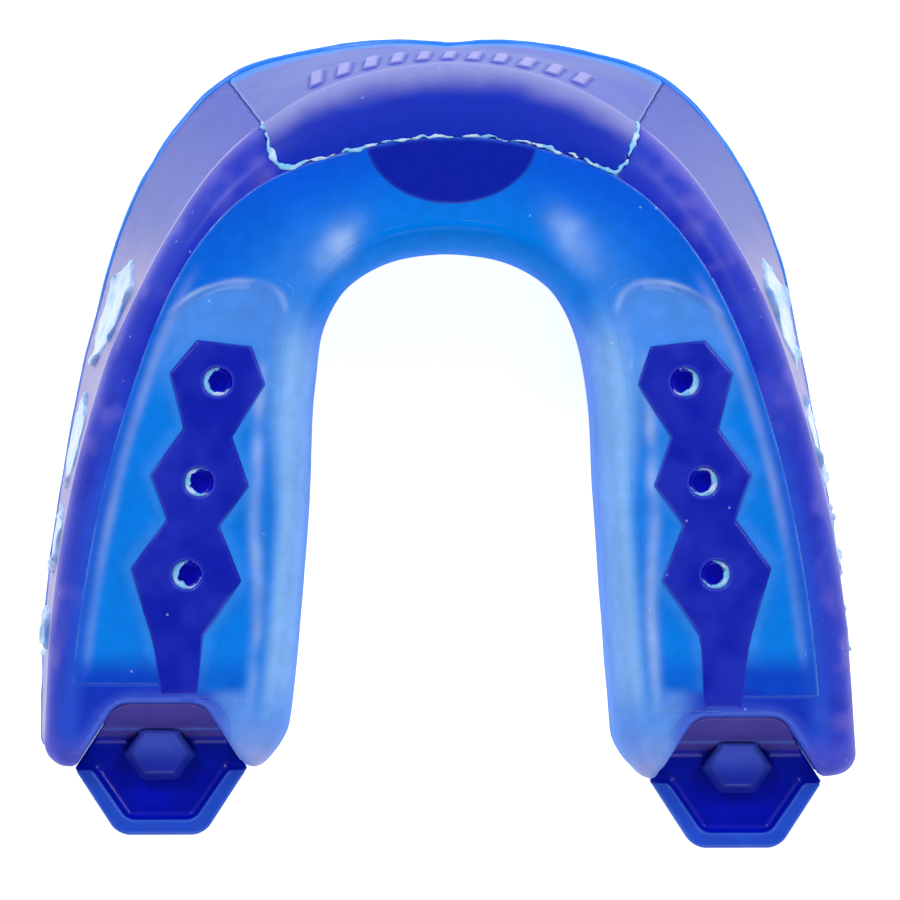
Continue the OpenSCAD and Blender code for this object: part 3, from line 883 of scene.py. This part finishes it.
def plate_paint(p):
    """Front plate: pale at the crease, deep towards the gel, with painted shade round its marks and its
    seams outlined.
    """
    across = np.clip((p.crease_n - p.n) / (p.crease_n - p.gel), 0, 1)
    c = mix((122, 128, 196), (14, 42, 176), smooth(across * 2.2 - 0.12 + 0.25 * lumps(p, 3.5, 61)))
    outer = mix((98, 114, 186), (84, 100, 188), smooth(0.5 + lumps(p, 4, 62)))
    c = mix(c, outer, smooth((p.crease_z + 0.1 - p.z) / 0.25))
    c = mix(c, (70, 66, 180), ridge(p.z - p.crease_z - 0.1, 0.14) * 0.7)
    # Painted shade round the marks' sides, and paler mark faces.
    edge = marks(p) * (p.z < p.crease_z - 0.5)
    ring = ridge(edge, 0.16) * (np.abs(edge) > 0) * (p.z < p.crease_z - 0.5)
    c = mix(c, (30, 44, 178), ring * 0.85)
    c = mix(c, (168, 166, 226), smooth(-edge / 0.3) * 0.5)
    c = mix(c, (60, 140, 236), smooth((p.rim_z + 3.2 - p.z) / 1.6) * 0.85)
    seam = smooth((plate_zone(p) + 0.2) / 0.14) * (p.a > 0.15) * (p.z < p.crease_z)
    return mix(c, (132, 152, 222), seam * 0.7)


def tongue_paint(p):
    edge = smooth(1 + front_tongue_plan(p) / 0.35)
    c = mix((4, 28, 160), (30, 84, 206), edge * 0.7)
    return mix(c, (26, 24, 150), 0.4 * smooth(lumps(p, 2.5, 71)))


def liner_paint(p):
    c = mix((16, 108, 226), (44, 132, 240), smooth((p.rim_z + 2 - p.z) / 2))
    c = mix(c, (84, 156, 242), 0.35 * smooth(1.4 * lumps(p, 2.8, 81)))
    return mix(c, (160, 150, 220), smooth((p.a - 0.4) / 0.1) * 0.35 * (p.n > p.rim_n - 0.8))


def bar_paint(p):
    c = mix((8, 27, 168), (27, 42, 177), smooth(0.5 + 1.3 * lumps(p, 2.6, 91)))
    # Painted highlight along the bar's top edge.
    edge = smooth(1 + bar_plan(p) / 0.3) * (p.z > 18.3)
    c = mix(c, (70, 120, 225), edge * (0.35 + 0.55 * noise(p, 2.2, 92)))
    c = mix(c, (52, 66, 205), ridge(hole(p), 0.14) * (p.z > 18.4) * 0.8)
    # Painted shade down the holes' walls.
    return mix(c, (0, 8, 205), smooth((18.9 - p.z) / 0.5) * (hole(p) < 0.3))


def cup_paint(p):
    y, up = p.rear_y - CUP[1], p.z - CUP_FLOOR
    # Darker low in the pocket: painted shade.
    c = mix((0, 16, 176), (0, 48, 186), smooth((up - 0.5) / 0.7))
    c = mix(c, (0, 22, 168), smooth((y + 0.3) / 0.4))
    # The ramp's purple-grey is a painted reflection of the surroundings.
    slope = smooth((y - CUP_L + RAMP_RUN + 0.1) / 0.3) * smooth((up - 0.1) / 0.5)
    c = mix(c, (80, 70, 158), slope * 0.9)
    # Painted highlight line along the top of the lip.
    c = mix(c, (84, 138, 230), ridge(p.z - CUP_LIP_Z + 0.12, 0.12) * 0.45)
    return c * (1 + 0.1 * lumps(p, 2, 95))[:, None]


def stud_paint(p):
    # Lighter towards the front facets: painted light. Deep blue at the foot.
    c = mix((24, 40, 152), (58, 78, 184), smooth((p.rear_y - STUD[1] + 1) / 2.4))
    return mix(c, (10, 30, 176), smooth((CUP_FLOOR + 0.9 - p.z) / 0.8))


def plug_paint(p):
    """Cloudy window gel, darker along its edge and white on the beads that stand out."""
    c = mix((146, 190, 236), (188, 208, 240), smooth(0.5 + lumps(p, 1.4, 96)))
    c = mix(c, (70, 120, 215), 0.25 * smooth(-1.2 * lumps(p, 1.6, 97)))
    shape = np.min([window_shape(p, *window) for window in WINDOWS], 0)
    c = mix(c, (40, 104, 206), ridge(shape + 0.25, 0.3) * (p.z > 9) * 0.8)
    return mix(c, (196, 220, 248), smooth((wall(p) - 0.35) / 0.3))


def flash_paint(p):
    return mix((110, 190, 238), (205, 222, 248), 0.1 + 0.7 * smooth(0.3 + 1.2 * noise(p, 0.6, 98)))


# ---- materials ----


MOTTLE_SCALE, FLECK_SCALE, GRAIN_SCALE = 900, 420, 2600  # lumps in a metre
GRAIN_DEPTH = 0.00006  # m
FLECK_COLOUR = (0.75, 0.85, 1, 1)
MIX_A, MIX_B, MIX_RESULT = 6, 7, 2  # sockets of a Mix node that mixes colours


def moulded(name, rough, coat, coat_rough, soft, grain, specks, level):
    """Moulded elastomer or gel: the paint with fine mottling, a skin with grain, and small specks."""
    m = bpy.data.materials.new(name)
    m.use_nodes = True
    shader = m.node_tree.nodes["Principled BSDF"]
    link = m.node_tree.links.new

    def add(kind, values):
        node = m.node_tree.nodes.new("ShaderNode" + kind)
        for socket, value in values.items():
            node.inputs[socket].default_value = value
        return node

    where = add("TexCoord", {}).outputs["Object"]
    paint = add("Attribute", {})
    paint.attribute_name = "paint"
    mottle = add("TexNoise", {"Scale": MOTTLE_SCALE, "Detail": 4})
    link(where, mottle.inputs["Vector"])
    shade = add("MapRange", {"To Min": 0.86, "To Max": 1.14})
    link(mottle.outputs["Fac"], shade.inputs["Value"])
    tint = add("Mix", {"Factor": 1})
    tint.data_type = "RGBA"
    tint.blend_type = "MULTIPLY"
    link(paint.outputs["Color"], tint.inputs[MIX_A])
    link(shade.outputs["Result"], tint.inputs[MIX_B])
    spots = add("TexVoronoi", {"Scale": FLECK_SCALE})
    link(where, spots.inputs["Vector"])
    small = add("MapRange", {"From Min": 0.025, "From Max": 0.05, "To Min": specks, "To Max": 0})
    link(spots.outputs["Distance"], small.inputs["Value"])
    fleck = add("Mix", {MIX_B: FLECK_COLOUR})
    fleck.data_type = "RGBA"
    link(small.outputs["Result"], fleck.inputs["Factor"])
    link(tint.outputs[MIX_RESULT], fleck.inputs[MIX_A])
    link(fleck.outputs[MIX_RESULT], shader.inputs["Base Color"])
    sheen = add("MapRange", {"To Min": rough * 0.75, "To Max": rough * 1.25})
    link(mottle.outputs["Fac"], sheen.inputs["Value"])
    link(sheen.outputs["Result"], shader.inputs["Roughness"])
    fine = add("TexNoise", {"Scale": GRAIN_SCALE, "Detail": 3})
    link(where, fine.inputs["Vector"])
    bump = add("Bump", {"Strength": grain, "Distance": GRAIN_DEPTH})
    link(fine.outputs["Fac"], bump.inputs["Height"])
    link(bump.outputs["Normal"], shader.inputs["Normal"])
    shader.inputs["Specular IOR Level"].default_value = level
    shader.inputs["Coat Weight"].default_value = coat
    shader.inputs["Coat Roughness"].default_value = coat_rough
    shader.inputs["Subsurface Weight"].default_value = soft
    shader.inputs["Subsurface Radius"].default_value = (0.3, 0.6, 1.0)
    shader.inputs["Subsurface Scale"].default_value = 0.0012
    return m


FRAME_SKIN = moulded(
    "frame_elastomer", rough=0.5, coat=0.07, coat_rough=0.2, soft=0.0, grain=0.35, specks=0.25, level=0.08
)
PLATE_SKIN = moulded(
    "plate_elastomer", rough=0.5, coat=0.08, coat_rough=0.2, soft=0.0, grain=0.3, specks=0.3, level=0.08
)
BAR_SKIN = moulded(
    "bar_elastomer", rough=0.4, coat=0.15, coat_rough=0.12, soft=0.0, grain=0.3, specks=0.3, level=0.1
)
CUP_SKIN = moulded(
    "cup_elastomer", rough=0.38, coat=0.14, coat_rough=0.1, soft=0.0, grain=0.25, specks=0.1, level=0.08
)
GEL_SKIN = moulded(
    "gel", rough=0.34, coat=0.28, coat_rough=0.07, soft=0.06, grain=0.2, specks=0.35, level=0.1
)
WALL_GEL_SKIN = moulded(
    "wall_gel", rough=0.4, coat=0.06, coat_rough=0.1, soft=0.0, grain=0.2, specks=0.35, level=0.0
)
FLASH_SKIN = moulded(
    "gel_flash", rough=0.35, coat=0.3, coat_rough=0.15, soft=0.1, grain=0.4, specks=0.0, level=0.2
)

# ---- pieces ----

TONGUE_REACH = 22  # how far to each side the tongue-side wall's grid goes
FRONT_GEL_BOX = (np.array([-27.0, 8.0, 16.9]), np.array([27.0, 26.0, 19.1]))

low, high = in_millimetres("shock_frame")
piece("frame_shell", shock_frame, frame_paint, FRAME_SKIN, ["shock_frame"],
      (low - 1, high + 1), COARSE)
piece("front_plate_shell", front_plate, plate_paint, PLATE_SKIN, ["front_plate"],
      in_millimetres("front_plate"), FINE)
piece("front_half_round", front_tongue, tongue_paint, BAR_SKIN, ["front_tongue"],
      in_millimetres("front_tongue"), FINE)
piece("gel_lining", gel_liner, liner_paint, GEL_SKIN, ["gel_liner"],
      in_millimetres("gel_liner"), COARSE)
low, high = in_millimetres("tongue_side_wall")
low[0], high[0] = -TONGUE_REACH, TONGUE_REACH
piece("gel_tongue_wall", tongue_side_wall, gel_paint, WALL_GEL_SKIN,
      ["tongue_side_wall"], (low, high), COARSE)
piece("gel_front", front_gel_pad, gel_paint, GEL_SKIN, ["front_gel_pad"],
      FRONT_GEL_BOX, FINE)
for side in ("left", "right"):
    for name, field, paint, skin_of, slot, node in (
        ("gel_tray_", bite_pad, gel_paint, GEL_SKIN, "bite_gel", "bite_pad_"),
        ("bar_", bite_bar, bar_paint, BAR_SKIN, "bite_bar", "bite_bar_"),
        ("cup_", heel_cup, cup_paint, CUP_SKIN, "heel_cup", "heel_cup_"),
        ("stud_", heel_stud, stud_paint, CUP_SKIN, "heel_stud", "heel_stud_"),
    ):
        low, high = in_millimetres(node + side)
        piece(name + side, field, paint, skin_of, [node + side], (low - 2, high + 2), FINE)
    piece("hole_flash_" + side, hole_flash, flash_paint, FLASH_SKIN, [],
          in_millimetres("bite_bar_" + side), FINE * 0.55)
    for i, window in enumerate(WINDOWS):
        node = "window_plug_%s_%d" % (side, i + 1)
        low, high = in_millimetres(node)
        piece("window_gel_%s_%d" % (side, i + 1), window_plug(window), plug_paint, FLASH_SKIN,
              [node], (low - 0.8, high + 0.8), FINE)
low, high = in_millimetres("front_plate")
piece("plate_flash", plate_flash, flash_paint, FLASH_SKIN, [],
      (low - 1, high + 0.5), FINE * 0.8)

# ---- floor, lights and camera ----


def plain(name, colour, glow):
    m = bpy.data.materials.new(name)
    m.use_nodes = True
    shader = m.node_tree.nodes["Principled BSDF"]
    shader.inputs["Base Color"].default_value = (*colour, 1)
    shader.inputs["Roughness"].default_value = 0.9
    shader.inputs["Specular IOR Level"].default_value = 0.1
    shader.inputs["Emission Color"].default_value = (1, 1, 1, 1)
    shader.inputs["Emission Strength"].default_value = glow
    return m


floor_mesh = bpy.data.meshes.new("floor")
floor_mesh.from_pydata([(-2, -2, 0), (2, -2, 0), (2, 2, 0), (-2, 2, 0)], [], [(0, 1, 2, 3)])
floor_mesh.materials.append(plain("floor_paper", (0.8, 0.8, 0.8), glow=0.75))
floor = bpy.data.objects.new("floor", floor_mesh)
bpy.context.scene.collection.objects.link(floor)

world = bpy.data.worlds.new("studio")
world.use_nodes = True
bpy.context.scene.world = world
nodes, links = world.node_tree.nodes, world.node_tree.links
where = nodes.new("ShaderNodeTexCoord")
parts = nodes.new("ShaderNodeSeparateXYZ")
ramp = nodes.new("ShaderNodeMapRange")
ramp.inputs["From Min"].default_value = 0.55
ramp.inputs["From Max"].default_value = 0.97
ramp.inputs["To Min"].default_value = 0.6
ramp.inputs["To Max"].default_value = 0.12
links.new(where.outputs["Generated"], parts.inputs["Vector"])
links.new(parts.outputs["Z"], ramp.inputs["Value"])
links.new(ramp.outputs["Result"], nodes["Background"].inputs["Strength"])
nodes["Background"].inputs["Color"].default_value = (1, 1, 1, 1)


def softbox(name, place, size, power):
    """A square lamp that faces the guard."""
    light = bpy.data.lights.new(name, "AREA")
    light.shape = "SQUARE"
    light.size = size
    light.energy = power
    made = bpy.data.objects.new(name, light)
    made.location = place
    made.rotation_mode = "QUATERNION"
    made.rotation_quaternion = (-Vector(place)).to_track_quat("-Z", "Y")
    bpy.context.scene.collection.objects.link(made)


softbox("key", (-0.3, 0.36, 0.42), 0.16, 1.5)
softbox("fill", (0.34, 0.3, 0.4), 0.2, 1.3)
softbox("back", (0.05, -0.42, 0.4), 0.24, 0.8)

CAMERA_PLACE = (-0.01, -MID_Y / 1000, 0.44)
CAMERA_LEAN = -0.02346  # radians, to face the guard's middle from a little to the left

camera_data = bpy.data.cameras.new("camera")
camera_data.lens = 216.5
camera_data.sensor_width = 36
camera_data.clip_start, camera_data.clip_end = 0.01, 10
camera = bpy.data.objects.new("camera", camera_data)
camera.location = CAMERA_PLACE
camera.rotation_euler = (0, CAMERA_LEAN, 0)
bpy.context.scene.collection.objects.link(camera)
bpy.context.scene.camera = camera
bpy.context.scene.view_settings.view_transform = "Standard"
